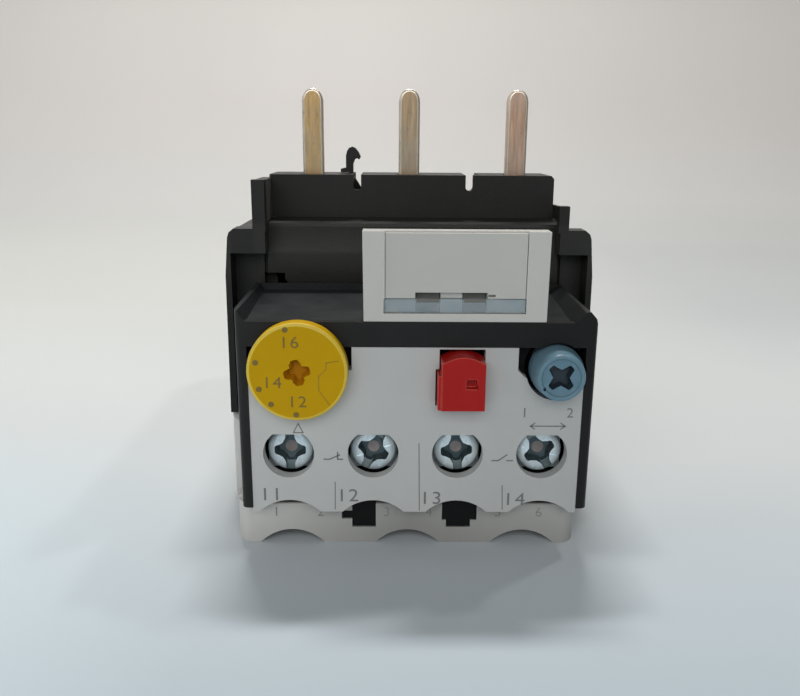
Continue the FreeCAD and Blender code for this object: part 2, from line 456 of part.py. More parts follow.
# ---------------------------------------------------------------- setting dial, cam and lever
dial = fuse([cyl_y(DIAL_X, DIAL_Z, DIAL_R, -37.5, -35.65), cyl_y(DIAL_X, DIAL_Z, 2.6, -35.7, -33.5), cyl_y(DIAL_X, DIAL_Z, 1.5, -33.6, -29.4)])
dial = round_edges(dial, 0.35, lambda e: len(e.Vertexes) == 1 and abs(e.Vertexes[0].Point.y + 37.5) < 0.01)
dial = dial.cut(cross_recess(DIAL_X, DIAL_Z, -37.5, 1.2, 2.7, 0.85, 12))
put("setting_dial", dial)
cam = cyl_y(DIAL_X - 0.5, DIAL_Z, 2.2, -30.8, -29.8).cut(cyl_y(DIAL_X, DIAL_Z, 1.5, -32, -29))
put("setting_cam", cam)
lev = fuse([box(-10.1, -9.3, -30.7, -29.9, 17.7, 24.2), cyl_y(-9.7, 17.7, 0.95, -30.7, -29.9)]).cut(cyl_y(-9.7, 17.7, 0.65, -32, -28))
put("adjusting_lever", lev)
put("adjusting_lever_pin", fuse([cyl_y(-9.7, 17.7, 0.6, -33.15, -29.6), cyl_y(-9.7, 17.7, 0.85, -29.75, -29.4)]))
put("compensation_strip", box(-9.95, -9.45, -29.9, -23.0, 20.2, 23.4))

# ---------------------------------------------------------------- reset knob, plunger, spring and lever
knob = fuse([cone_y(KNOB_X, KNOB_Z, 2.5, KNOB_R, DEPTH_FRONT, -35.6), cyl_y(KNOB_X, KNOB_Z, KNOB_R, -35.6, -34.0)])
knob = round_edges(knob, 0.25, lambda e: len(e.Vertexes) == 1 and abs(e.Vertexes[0].Point.y - DEPTH_FRONT) < 0.01)
knob = knob.cut(cross_recess(KNOB_X, KNOB_Z, DEPTH_FRONT, 1.1, 2.5, 0.8, 45))
knob = knob.cut(cyl_y(KNOB_X, KNOB_Z, 1.25, -36.2, -33.0))
put("reset_knob", knob)
put("reset_plunger", fuse([cyl_y(KNOB_X, KNOB_Z, 1.2, -36.15, -25.4), cyl_y(KNOB_X, KNOB_Z, 0.5, -25.5, -24.45)]))
put("reset_spring", coil_y(KNOB_X, KNOB_Z, 2.0, 0.28, -33.9, -29.42, 4))
rl = fuse([box(14.55, 16.25, -24.4, -23.4, RESET_PIN_Z, 22.3), cyl_x(-23.8, RESET_PIN_Z, 0.9, 14.55, 16.25)]).cut(cyl_x(-23.8, RESET_PIN_Z, 0.55, 14, 17))
put("reset_lever", rl)
put("reset_lever_pin", cyl_x(-23.8, RESET_PIN_Z, 0.5, 13.4, 17.4))

# ---------------------------------------------------------------- test button and spring
arch = [(TEST_X0, TEST_Z0), (TEST_X1, TEST_Z0), (TEST_X1, TEST_Z1 - 0.75)]
for k in range(1, 8):
    u = k / 8.0
    arch.append((TEST_X1 + (TEST_X0 - TEST_X1) * u, TEST_Z1 - 0.75 + 0.75 * math.sin(math.pi * u)))
arch.append((TEST_X0, TEST_Z1 - 0.75))
tb = fuse([prism_y(arch, -37.7, -33.9), box(TEST_X0 - 0.38, TEST_X0 + 0.1, -37.5, -33.9, TEST_Z0, 21.3), box(4.6, 6.3, -34.0, -28.0, 19.5, 21.2)])
tb = tb.cut(box(5.75, 6.85, -38, -36.8, 19.95, 20.95))
put("test_button", tb)
put("test_spring", coil_y(5.45, 20.35, 1.75, 0.22, -33.85, -29.42, 4))

# ---------------------------------------------------------------- slides, trip lever, contact carrier
def slide(z0, z1, x0, x1, gap_left, gap_right):
    s = box(x0, x1, STRIP_Y - 4.6, STRIP_Y + 4.6, z0, z1)
    for x in POLE_X:
        s = s.cut(box(x - gap_left, x + gap_right, STRIP_Y - STRIP_W / 2 - 0.3, STRIP_Y + STRIP_W / 2 + 0.3, z0 - 1, z1 + 1))
    return s


ts = slide(29.2, 30.4, -16.5, 15.9, 1.2, 0.6)
ts = fuse([ts, box(15.8, 16.2, STRIP_Y - 0.5, STRIP_Y + 0.5, 29.2, 30.4), cyl_z(16.2, STRIP_Y, 0.5, 29.2, 30.4)])
put("trip_slide", ts)
put("differential_slide", slide(31.0, 32.2, -15.9, 16.3, 1.2, 1.4))

ax0 = LEVER_X - 0.55
tl = fuse([cyl_z(LEVER_X, LEVER_Y, 1.35, 16.8, 30.6),
           box(ax0, LEVER_X + 0.55, LEVER_Y, STRIP_Y + 1.0, 29.2, 30.4),
           box(1.2, LEVER_X, LEVER_Y - 0.7, LEVER_Y + 0.7, 17.2, 18.8)])
tl = tl.cut(cyl_z(LEVER_X, LEVER_Y, 0.95, 10, 33))
put("trip_lever", tl)
put("trip_lever_pin", cyl_z(LEVER_X, LEVER_Y, 0.9, 10.55, 32.25))

carrier = fuse([box(-13.4, 12.6, -27.4, -26.0, 17.2, 18.7), box(1.2, 2.6, -26.5, LEVER_Y - 0.75, 17.3, 18.7), box(-9.5, -7.9, -28.2, -27.3, 17.4, 18.6)])
put("contact_carrier", carrier)
put("contact_bridge_nc", fuse([box(-14.4, -3.0, -28.6, -28.2, 17.4, 18.6), cyl_y(-13.35, 18.0, 0.6, -28.78, -28.5), cyl_y(-4.08, 18.0, 0.6, -28.78, -28.5)]))
put("contact_bridge_no", fuse([box(4.2, 13.2, -26.0, -25.6, 17.4, 18.6), cyl_y(5.18, 18.0, 0.6, -25.7, -25.4), cyl_y(12.4, 18.0, 0.6, -25.7, -25.4)]))

# ---------------------------------------------------------------- write the nodes
for name, solids in NODES.items():
    assert solids, name
    for s in solids:
        if not s.isValid() or s.Volume <= 0:
            print("BAD", name, s.isValid(), s.Volume)
    shape = solids[0] if len(solids) == 1 else Part.makeCompound(solids)
    shape.exportStep("parts/%s.step" % name)
    bb = shape.BoundBox
    print("%-24s %2d  x %7.2f %7.2f  y %7.2f %7.2f  z %6.2f %6.2f  v %9.1f" % (name, len(solids), bb.XMin, bb.XMax, bb.YMin, bb.YMax, bb.ZMin, bb.ZMax, shape.Volume))
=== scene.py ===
import math

import bmesh
import bpy
from mathutils import Matrix, Vector


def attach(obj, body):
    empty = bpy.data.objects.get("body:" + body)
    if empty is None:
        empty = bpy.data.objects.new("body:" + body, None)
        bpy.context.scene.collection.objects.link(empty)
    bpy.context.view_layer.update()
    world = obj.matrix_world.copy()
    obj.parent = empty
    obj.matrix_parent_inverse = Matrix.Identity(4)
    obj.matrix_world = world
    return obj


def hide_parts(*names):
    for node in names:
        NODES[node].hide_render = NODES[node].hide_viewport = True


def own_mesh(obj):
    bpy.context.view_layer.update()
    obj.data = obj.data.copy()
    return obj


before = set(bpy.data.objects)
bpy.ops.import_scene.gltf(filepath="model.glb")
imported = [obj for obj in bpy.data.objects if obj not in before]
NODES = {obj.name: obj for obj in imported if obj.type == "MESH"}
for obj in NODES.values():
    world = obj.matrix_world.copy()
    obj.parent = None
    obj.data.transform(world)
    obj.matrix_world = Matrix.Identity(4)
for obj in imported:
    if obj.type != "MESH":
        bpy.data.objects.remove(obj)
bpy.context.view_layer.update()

MM = 0.001


bpy.context.scene.view_settings.view_transform = "Standard"
bpy.context.scene.view_settings.look = "None"


# ------------------------------------------------------------------ node helpers
def tree(name):
    m = bpy.data.materials.new(name)
    m.use_nodes = True
    nt = m.node_tree
    for n in list(nt.nodes):
        nt.nodes.remove(n)
    out = nt.nodes.new("ShaderNodeOutputMaterial")
    bsdf = nt.nodes.new("ShaderNodeBsdfPrincipled")
    nt.links.new(bsdf.outputs[0], out.inputs[0])
    return m, nt, bsdf


def coords(nt, scale=(1, 1, 1), rot=(0, 0, 0)):
    tc = nt.nodes.new("ShaderNodeTexCoord")
    mp = nt.nodes.new("ShaderNodeMapping")
    mp.inputs["Scale"].default_value = scale
    mp.inputs["Rotation"].default_value = rot
    nt.links.new(tc.outputs["Object"], mp.inputs["Vector"])
    return mp.outputs[0]


def noise(nt, vec, scale, detail=4.0, rough=0.55):
    n = nt.nodes.new("ShaderNodeTexNoise")
    n.inputs["Scale"].default_value = scale
    n.inputs["Detail"].default_value = detail
    n.inputs["Roughness"].default_value = rough
    nt.links.new(vec, n.inputs["Vector"])
    return n.outputs["Fac"]


def ramp(nt, fac, stops):
    r = nt.nodes.new("ShaderNodeValToRGB")
    cr = r.color_ramp
    while len(cr.elements) > len(stops):
        cr.elements.remove(cr.elements[-1])
    while len(cr.elements) < len(stops):
        cr.elements.new(0.5)
    for e, (p, c) in zip(cr.elements, stops):
        e.position = p
        e.color = (c[0], c[1], c[2], 1) if isinstance(c, (tuple, list)) else (c, c, c, 1)
    nt.links.new(fac, r.inputs[0])
    return r.outputs[0]


def mix(nt, a, b, fac, mode="MIX"):
    m = nt.nodes.new("ShaderNodeMix")
    m.data_type = "RGBA"
    m.blend_type = mode
    for sock, v in ((m.inputs[6], a), (m.inputs[7], b)):
        if isinstance(v, (tuple, list)):
            sock.default_value = (v[0], v[1], v[2], 1)
        else:
            nt.links.new(v, sock)
    if isinstance(fac, (int, float)):
        m.inputs[0].default_value = fac
    else:
        nt.links.new(fac, m.inputs[0])
    return m.outputs[2]


def maths(nt, op, a, b=None, clamp=False):
    m = nt.nodes.new("ShaderNodeMath")
    m.operation = op
    m.use_clamp = clamp
    for k, v in enumerate((a, b)):
        if v is None:
            continue
        if isinstance(v, (int, float)):
            m.inputs[k].default_value = v
        else:
            nt.links.new(v, m.inputs[k])
    return m.outputs[0]


def bump(nt, bsdf, height, strength, dist, prev=None):
    b = nt.nodes.new("ShaderNodeBump")
    b.inputs["Strength"].default_value = strength
    b.inputs["Distance"].default_value = dist
    nt.links.new(height, b.inputs["Height"])
    if prev is not None:
        nt.links.new(prev, b.inputs["Normal"])
    nt.links.new(b.outputs[0], bsdf.inputs["Normal"])
    return b.outputs[0]


def scaled(c, k):
    return tuple(min(1.0, x * k) for x in c)


def shade(nt, col, axis, lo, hi, stops):
    # painted light and shade: a slow change of brightness along one axis, in millimetres
    tc = nt.nodes.new("ShaderNodeTexCoord")
    sep = nt.nodes.new("ShaderNodeSeparateXYZ")
    nt.links.new(tc.outputs["Object"], sep.inputs[0])
    t = nt.nodes.new("ShaderNodeMapRange")
    t.inputs["From Min"].default_value, t.inputs["From Max"].default_value = lo * MM, hi * MM
    nt.links.new(sep.outputs["XYZ".index(axis)], t.inputs["Value"])
    return mix(nt, col, ramp(nt, t.outputs[0], stops), 1.0, "MULTIPLY")


def zone(nt, col, target, x, y, z, soft=0.03):
    # painted light or shade: another colour inside a box, in millimetres
    tc = nt.nodes.new("ShaderNodeTexCoord")
    sep = nt.nodes.new("ShaderNodeSeparateXYZ")
    nt.links.new(tc.outputs["Object"], sep.inputs[0])
    fac = None
    for k, (lo, hi) in enumerate((x, y, z)):
        for a, b in ((lo - soft, lo + soft), (hi + soft, hi - soft)):
            t = nt.nodes.new("ShaderNodeMapRange")
            t.inputs["From Min"].default_value, t.inputs["From Max"].default_value = a * MM, b * MM
            nt.links.new(sep.outputs[k], t.inputs["Value"])
            fac = t.outputs[0] if fac is None else maths(nt, "MULTIPLY", fac, t.outputs[0])
    return mix(nt, col, target, fac)


def plastic(name, colour, rough=0.5, grain=0.35, vary=0.08, dust=0.0, dust_colour=(0.5, 0.5, 0.5), spec=0.5, worn=0.0, worn_colour=None, seed=0.0, grain_scale=5200, coat=0.0, shades=(), zones=()):
    # moulded plastic: fine spark-eroded grain, slow shade drift, faint dust in patches, rubbed edges, and painted
    # light and shade from the shades and zones
    m, nt, bsdf = tree(name)
    v = coords(nt)
    off = nt.nodes.new("ShaderNodeVectorMath")
    off.operation = "ADD"
    off.inputs[1].default_value = (seed * 0.37, seed * 0.11, seed * 0.23)
    nt.links.new(v, off.inputs[0])
    v = off.outputs[0]
    slow = noise(nt, v, 55, 3)
    mid = noise(nt, v, 420, 4)
    col = mix(nt, ramp(nt, slow, [(0.3, scaled(colour, 1 - vary)), (0.7, scaled(colour, 1 + vary))]),
              ramp(nt, mid, [(0.3, scaled(colour, 1 - vary * 0.8)), (0.72, scaled(colour, 1 + vary * 0.8))]), 0.45)
    if dust > 0:
        specks = ramp(nt, noise(nt, v, 2600, 2, 0.7), [(0.66, 0.0), (0.74, 1.0)])
        patch = ramp(nt, noise(nt, v, 130, 3), [(0.4, 0.0), (0.7, 1.0)])
        col = mix(nt, col, dust_colour, maths(nt, "MULTIPLY", maths(nt, "MULTIPLY", specks, patch), dust))
    if worn > 0:
        geo = nt.nodes.new("ShaderNodeNewGeometry")
        edge = ramp(nt, geo.outputs["Pointiness"], [(0.5, 0.0), (0.56, 1.0)])
        broken = ramp(nt, noise(nt, v, 900, 4), [(0.35, 0.15), (0.7, 1.0)])
        col = mix(nt, col, worn_colour or scaled(colour, 1.8), maths(nt, "MULTIPLY", maths(nt, "MULTIPLY", edge, broken), worn))
    for sh in shades:
        col = shade(nt, col, *sh)
    for zo in zones:
        col = zone(nt, col, *zo)
    nt.links.new(col, bsdf.inputs["Base Color"])
    r = ramp(nt, noise(nt, v, 210, 4), [(0.25, rough - 0.06), (0.75, rough + 0.07)])
    nt.links.new(r, bsdf.inputs["Roughness"])
    bsdf.inputs["Specular IOR Level"].default_value = spec
    bsdf.inputs["Coat Weight"].default_value = coat
    bsdf.inputs["Coat Roughness"].default_value = 0.25
    g = noise(nt, v, grain_scale, 3, 0.6)
    b1 = bump(nt, bsdf, g, grain, 0.00003)
    bump(nt, bsdf, noise(nt, v, 300, 2), 0.10, 0.00012, b1)
    return m


def metal(name, colour, rough=0.3, brush=(1, 1, 12), scale=900, vary=0.12, tint=None, tint_amount=0.0, spot=None, spot_amount=0.0, seed=0.0, metallic=1.0):
    # drawn or plated metal: streaks along one axis, cloudy tint, darker spots
    m, nt, bsdf = tree(name)
    v0 = coords(nt)
    off = nt.nodes.new("ShaderNodeVectorMath")
    off.operation = "ADD"
    off.inputs[1].default_value = (seed * 0.31, seed * 0.17, seed * 0.29)
    nt.links.new(v0, off.inputs[0])
    v0 = off.outputs[0]
    mp = nt.nodes.new("ShaderNodeMapping")
    mp.inputs["Scale"].default_value = brush
    nt.links.new(v0, mp.inputs["Vector"])
    streak = noise(nt, mp.outputs[0], scale, 5, 0.6)
    cloud = noise(nt, v0, 260, 4, 0.6)
    col = ramp(nt, streak, [(0.25, scaled(colour, 1 - vary)), (0.75, scaled(colour, 1 + vary))])
    if tint:
        col = mix(nt, col, tint, maths(nt, "MULTIPLY", ramp(nt, cloud, [(0.38, 0.0), (0.66, 1.0)]), tint_amount))
    if spot:
        s = ramp(nt, noise(nt, v0, 1500, 3, 0.7), [(0.62, 0.0), (0.74, 1.0)])
        col = mix(nt, col, spot, maths(nt, "MULTIPLY", s, spot_amount))
    nt.links.new(col, bsdf.inputs["Base Color"])
    bsdf.inputs["Metallic"].default_value = metallic
    nt.links.new(ramp(nt, streak, [(0.2, rough - 0.08), (0.8, rough + 0.1)]), bsdf.inputs["Roughness"])
    b1 = bump(nt, bsdf, streak, 0.25, 0.00004)
    bump(nt, bsdf, cloud, 0.08, 0.0001, b1)
    return m


def paint(name, colour, rough=0.55):
    # printed marks: ink with slight gaps
    m, nt, bsdf = tree(name)
    v = coords(nt)
    n = noise(nt, v, 3500, 4, 0.65)
    nt.links.new(ramp(nt, n, [(0.3, scaled(colour, 0.8)), (0.62, colour), (0.8, scaled(colour, 1.5))]), bsdf.inputs["Base Color"])
    bsdf.inputs["Roughness"].default_value = rough
    bump(nt, bsdf, n, 0.15, 0.00001)
    return m


def clear(name):
    m, nt, bsdf = tree(name)
    v = coords(nt)
    n = noise(nt, v, 700, 3)
    nt.links.new(ramp(nt, n, [(0.3, (0.72, 0.84, 0.9)), (0.7, (0.86, 0.92, 0.95))]), bsdf.inputs["Base Color"])
    nt.links.new(ramp(nt, n, [(0.3, 0.06), (0.7, 0.14)]), bsdf.inputs["Roughness"])
    bsdf.inputs["Transmission Weight"].default_value = 0.75
    bsdf.inputs["IOR"].default_value = 1.49
    bump(nt, bsdf, n, 0.08, 0.00005)
    return m


# ------------------------------------------------------------------ materials
M = {}
# painted shade: darker toward the right, and darker and warmer on the front faces
M["black"] = plastic("black_plastic", (0.0182, 0.0208, 0.0224), rough=0.42, grain=0.45, vary=0.16, dust=0.25, dust_colour=(0.09, 0.09, 0.085), spec=0.26,
                     shades=(("X", -19, 20, [(0.0, 0.95), (0.5, 0.85), (0.75, 0.6), (1.0, 0.5)]), ("Y", -35.5, -33.5, [(0.0, (0.87, 0.75, 0.67)), (1.0, 1.0)])))
# painted light and shade: darker low down and on the upper tower, darker over the left shoulder recess and a little to
# the right; a painted reflection as a light strip on the inner face of the left ear
M["black2"] = plastic("black_plastic_rear", (0.0300, 0.0300, 0.0270), rough=0.46, grain=0.5, vary=0.16, dust=0.25, dust_colour=(0.08, 0.08, 0.072), seed=3, spec=0.24,
                      shades=(("Z", 24, 42, [(0.0, 0.55), (0.2, 0.64), (0.32, 0.95), (0.6, 1.0), (0.645, 0.68), (1.0, 0.72)]), ("X", -22, 22, [(0.0, 1.0), (0.009, 1.0), (0.014, 0.72), (0.068, 0.72), (0.082, 1.0), (0.9, 0.88), (1.0, 0.9)])),
                      zones=(((0.12, 0.11, 0.105), (-18.2, -17.0), (-19.5, -13.95), (35.4, 40.2)),))
M["dark"] = plastic("dark_plastic", (0.004, 0.004, 0.0045), rough=0.6, grain=0.3, vary=0.12, seed=5, spec=0.2)
# painted light: lighter on the left, darker toward the right
M["panel"] = plastic("panel_grey", (0.565, 0.57, 0.56), rough=0.46, grain=0.3, vary=0.03, dust=0.12, dust_colour=(0.36, 0.35, 0.32), seed=1,
                     shades=(("X", -18, 19, [(0.0, 1.0), (0.5, 0.95), (1.0, 0.84)]),))
# painted shade: darker toward the middle and right, toward the bottom and toward the back, and a painted shadow inside
# the arch channels
M["base"] = plastic("base_grey", (0.66, 0.655, 0.63), rough=0.46, grain=0.3, vary=0.03, dust=0.14, dust_colour=(0.4, 0.39, 0.36), seed=2,
                    shades=(("X", -20, 20, [(0.0, 1.0), (0.22, 0.76), (0.5, 0.5), (0.78, 0.62), (1.0, 0.66)]), ("Z", 0, 5.5, [(0.0, 0.86), (0.5, 0.95), (1.0, 1.0)]), ("Y", -33.5, -20, [(0.0, 1.0), (1.0, 0.92)])),
                    zones=(((0.072, 0.067, 0.047), (-19.15, 18.55), (-32.95, -23.0), (-1.0, 9.0), 0.05),))
M["white"] = plastic("holder_white", (0.59, 0.575, 0.545), rough=0.38, grain=0.15, vary=0.025, dust=0.08, dust_colour=(0.4, 0.4, 0.38), seed=4)
M["card"] = plastic("label_card", (0.545, 0.53, 0.5), rough=0.62, grain=0.25, vary=0.03, dust=0.05, dust_colour=(0.4, 0.4, 0.38), seed=6, grain_scale=3000)
M["yellow"] = plastic("dial_yellow", (0.575, 0.335, 0.004), rough=0.36, grain=0.2, vary=0.05, seed=7, spec=0.08)
# painted shade: darker orange for the dial's cross recess
M["yellow_in"] = plastic("dial_recess_shade", (0.45, 0.19, 0.005), rough=0.45, grain=0.2, vary=0.1, seed=8, spec=0.08)
M["blue"] = plastic("knob_blue", (0.125, 0.225, 0.29), rough=0.34, grain=0.2, vary=0.06, worn=0.45, worn_colour=(0.2, 0.34, 0.42), seed=9, spec=0.3)
# painted shade: dark blue for the knob's cross recess and index hole
M["blue_in"] = plastic("knob_recess_shade", (0.02, 0.035, 0.05), rough=0.5, grain=0.2, vary=0.1, seed=10)
M["red"] = plastic("button_red", (0.42, 0.011, 0.009), rough=0.34, grain=0.2, vary=0.07, seed=11, spec=0.22)
M["cream"] = plastic("inner_cream", (0.52, 0.47, 0.36), rough=0.5, grain=0.3, vary=0.04, seed=12)
M["zinc"] = metal("zinc_plate", (0.80, 0.89, 0.94), rough=0.36, brush=(1, 1, 1), scale=700, vary=0.1, tint=(0.62, 0.74, 0.82), tint_amount=0.6, spot=(0.2, 0.24, 0.26), spot_amount=0.35, metallic=0.5)
# painted shade for the screw heads' cross recess and slot, and a painted reflection for the recess floor
M["zinc_in"] = metal("zinc_recess_shade", (0.11, 0.145, 0.16), rough=0.45, brush=(1, 1, 1), scale=900, vary=0.25, tint=(0.06, 0.1, 0.11), tint_amount=0.8, seed=2, metallic=0.7)
M["zinc_slot_shade"] = metal("zinc_slot_shade", (0.3, 0.36, 0.37), rough=0.42, brush=(1, 1, 1), scale=900, vary=0.2, tint=(0.12, 0.18, 0.19), tint_amount=0.7, seed=4, metallic=0.7)
M["zinc_floor_reflection"] = metal("zinc_floor_reflection", (0.25, 0.225, 0.21), rough=0.5, brush=(1, 1, 1), scale=1300, vary=0.2, tint=(0.42, 0.38, 0.38), tint_amount=0.6, seed=6, metallic=0.6)
M["zinc_tick"] = metal("zinc_tick", (0.75, 0.84, 0.88), rough=0.3, brush=(1, 1, 1), scale=900, vary=0.1, seed=5)
M["steel"] = metal("spring_steel", (0.5, 0.5, 0.52), rough=0.3, brush=(1, 1, 1), scale=1200)
M["brass"] = metal("inner_brass", (0.7, 0.5, 0.22), rough=0.3, brush=(1, 1, 6), tint=(0.5, 0.3, 0.1), tint_amount=0.5)
M["copper"] = metal("inner_copper", (0.72, 0.4, 0.26), rough=0.34, brush=(1, 8, 1), tint=(0.4, 0.2, 0.12), tint_amount=0.5)
M["bimetal"] = metal("bimetal_strip", (0.5, 0.48, 0.44), rough=0.35, brush=(1, 1, 8))
M["heater"] = metal("heater_ribbon", (0.35, 0.32, 0.3), rough=0.45, brush=(6, 6, 1), tint=(0.2, 0.16, 0.2), tint_amount=0.6)
M["blade1"] = metal("blade_plate_1", (0.7, 0.46, 0.21), rough=0.32, brush=(9, 9, 0.7), scale=420, vary=0.14, tint=(0.56, 0.44, 0.3), tint_amount=0.5, spot=(0.3, 0.19, 0.1), spot_amount=0.35, seed=1)
M["blade2"] = metal("blade_plate_2", (0.55, 0.4, 0.25), rough=0.34, brush=(9, 9, 0.7), scale=420, vary=0.14, tint=(0.52, 0.44, 0.36), tint_amount=0.6, spot=(0.26, 0.18, 0.12), spot_amount=0.35, seed=2)
M["blade3"] = metal("blade_plate_3", (0.66, 0.42, 0.29), rough=0.34, brush=(9, 9, 0.7), scale=420, vary=0.14, tint=(0.56, 0.44, 0.37), tint_amount=0.6, spot=(0.3, 0.18, 0.13), spot_amount=0.35, seed=3)
M["ink"] = paint("print_grey", (0.2, 0.2, 0.195))
M["ink_low"] = paint("print_low", (0.27, 0.265, 0.26))
M["ink_dial"] = paint("print_dial", (0.22, 0.145, 0.02))
M["ink_line"] = paint("print_line", (0.3, 0.19, 0.01))
M["pad"] = plastic("print_pad", (0.17, 0.165, 0.15), rough=0.6, grain=0.3, vary=0.12, seed=13, grain_scale=2500)
M["ink_red"] = paint("print_mark", (0.16, 0.11, 0.09))
M["clear"] = clear("window_clear")
# painted highlights: lighter colours for the bevelled edges; the base's edge colour also carries the base's painted
# shade
M["black_edge_highlight"] = plastic("black_edge_highlight", (0.06, 0.063, 0.066), rough=0.36, grain=0.4, vary=0.3, seed=21, spec=0.35)
M["black2_edge"] = plastic("black_edge_highlight_rear", (0.045, 0.046, 0.045), rough=0.4, grain=0.4, vary=0.3, seed=22, spec=0.3)
M["panel_edge_highlight"] = plastic("panel_edge_highlight", (0.63, 0.64, 0.635), rough=0.4, grain=0.2, vary=0.04, seed=23)
M["base_edge_highlight"] = plastic("base_edge_highlight", (0.7, 0.7, 0.685), rough=0.42, grain=0.2, vary=0.04, seed=24,
                         shades=(("X", -20, 20, [(0.0, 1.0), (0.22, 0.76), (0.5, 0.5), (0.78, 0.62), (1.0, 0.66)]), ("Z", 0, 5.5, [(0.0, 0.86), (0.5, 0.95), (1.0, 1.0)]), ("Y", -33.5, -20, [(0.0, 1.0), (1.0, 0.92)])),
                    zones=(((0.072, 0.067, 0.047), (-19.15, 18.55), (-32.95, -23.0), (-1.0, 9.0), 0.05),))
M["white_edge"] = plastic("holder_edge_highlight", (0.68, 0.67, 0.65), rough=0.34, grain=0.12, vary=0.03, seed=25)
M["red_edge"] = plastic("button_edge_highlight", (0.52, 0.035, 0.022), rough=0.32, grain=0.2, vary=0.1, seed=26)
M["yellow_edge"] = plastic("dial_edge_highlight", (0.74, 0.53, 0.06), rough=0.3, grain=0.15, vary=0.1, seed=27, spec=0.3)
M["blade_edge"] = metal("blade_edge", (0.78, 0.69, 0.57), rough=0.3, brush=(9, 9, 0.7), scale=500, vary=0.12, seed=28, metallic=0.7)


# ------------------------------------------------------------------ mesh helpers (millimetres in, metres out)
def finish_mesh(name, bm, mat, body, bevel=0.0, segments=2, smooth=True, angle=0.6, weld=True):
    if weld:
        bmesh.ops.remove_doubles(bm, verts=bm.verts, dist=1e-4)
    bmesh.ops.recalc_face_normals(bm, faces=bm.faces)
    for v in bm.verts:
        v.co *= MM
    me = bpy.data.meshes.new(name)
    bm.to_mesh(me)
    bm.free()
    o = bpy.data.objects.new(name, me)
    bpy.context.scene.collection.objects.link(o)
    me.materials.append(mat)
    if bevel > 0:
        b = o.modifiers.new("round", "BEVEL")
        b.width = bevel * MM
        b.segments = segments
        b.limit_method = "ANGLE"
        b.angle_limit = angle
        b.use_clamp_overlap = True
    if smooth:
        for p in me.polygons:
            p.use_smooth = True
        w = o.modifiers.new("normals", "WEIGHTED_NORMAL")
        w.weight = 60
        w.keep_sharp = True
    if body:
        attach(o, body)
    return o


def apply_mods(o):
    dg = bpy.context.evaluated_depsgraph_get()
    me = bpy.data.meshes.new_from_object(o.evaluated_get(dg))
    old = o.data
    o.modifiers.clear()
    o.data = me
    bpy.data.meshes.remove(old)


def bm_box(x0, x1, y0, y1, z0, z1, bm=None):
    bm = bm or bmesh.new()
    vs = [bm.verts.new((x, y, z)) for x in (x0, x1) for y in (y0, y1) for z in (z0, z1)]
    for f in ((0, 1, 3, 2), (4, 6, 7, 5), (0, 4, 5, 1), (2, 3, 7, 6), (0, 2, 6, 4), (1, 5, 7, 3)):
        bm.faces.new([vs[i] for i in f])
    return bm


def bm_prism_y(points, y0, y1, bm=None):
    # polygon in XZ, extruded along Y
    bm = bm or bmesh.new()
    a = [bm.verts.new((x, y0, z)) for x, z in points]
    b = [bm.verts.new((x, y1, z)) for x, z in points]
    bm.faces.new(a)
    bm.faces.new(list(reversed(b)))
    n = len(points)
    for i in range(n):
        j = (i + 1) % n
        bm.faces.new((a[i], b[i], b[j], a[j]))
    return bm


def bm_lathe_y(cx, cz, profile, steps=96, bm=None):
    # profile of (radius, y), turned about the line x = cx, z = cz; ends on the axis are closed
    bm = bm or bmesh.new()
    rings = []
    for r, y in profile:
        if r < 1e-6:
            rings.append([bm.verts.new((cx, y, cz))])
        else:
            rings.append([bm.verts.new((cx + r * math.cos(2 * math.pi * k / steps), y, cz + r * math.sin(2 * math.pi * k / steps))) for k in range(steps)])
    for a, b in zip(rings, rings[1:]):
        for k in range(steps):
            j = (k + 1) % steps
            if len(a) == 1 and len(b) == 1:
                continue
            if len(a) == 1:
                bm.faces.new((a[0], b[j], b[k]))
            elif len(b) == 1:
                bm.faces.new((a[k], a[j], b[0]))
            else:
                bm.faces.new((a[k], a[j], b[j], b[k]))
    return bm


def cutter(bm):
    bmesh.ops.recalc_face_normals(bm, faces=bm.faces)
    for v in bm.verts:
        v.co *= MM
    me = bpy.data.meshes.new("cutter")
    bm.to_mesh(me)
    bm.free()
    o = bpy.data.objects.new("cutter", me)
    bpy.context.scene.collection.objects.link(o)
    return o


def carve(o, bms, mat=None):
    # subtracts each cutter; faces it makes take the given material
    if mat is not None and mat.name not in [m.name for m in o.data.materials]:
        o.data.materials.append(mat)
    for bm in bms:
        c = cutter(bm)
        if mat is not None:
            c.data.materials.append(mat)
        b = o.modifiers.new("cut", "BOOLEAN")
        b.operation = "DIFFERENCE"
        b.solver = "EXACT"
        b.object = c
        b.material_mode = "TRANSFER" if mat is not None else "INDEX"
        bpy.context.view_layer.update()
        apply_mods(o)
        bpy.data.objects.remove(c)
    return o


def turned(bm, cx, cz, degrees):
    a = math.radians(degrees)
    for v in bm.verts:
        x, z = v.co.x - cx, v.co.z - cz
        v.co.x, v.co.z = cx + x * math.cos(a) - z * math.sin(a), cz + x * math.sin(a) + z * math.cos(a)
    return bm


def tapered_arm(cx, cz, y0, depth, span, w0, w1, turn, tip=0.72):
    # one bar of a cross recess: narrower and shorter at the bottom
    bm = bmesh.new()
    top, bot = [], []
    for sx, sz in ((-1, -1), (1, -1), (1, 1), (-1, 1)):
        top.append(bm.verts.new((cx + sx * span / 2, y0 - 0.3, cz + sz * w0 / 2)))
        bot.append(bm.verts.new((cx + sx * span / 2 * tip, y0 + depth, cz + sz * w1 / 2)))
    bm.faces.new(top)
    bm.faces.new(list(reversed(bot)))
    for i in range(4):
        j = (i + 1) % 4
        bm.faces.new((top[i], bot[i], bot[j], top[j]))
    return turned(bm, cx, cz, turn)


def smooth_all(o, angle=0.5):
    me = o.data
    bm = bmesh.new()
    bm.from_mesh(me)
    for f in bm.faces:
        f.smooth = True
    for e in bm.edges:
        if len(e.link_faces) == 2:
            e.smooth = e.calc_face_angle(0) < angle
    bm.to_mesh(me)
    bm.free()


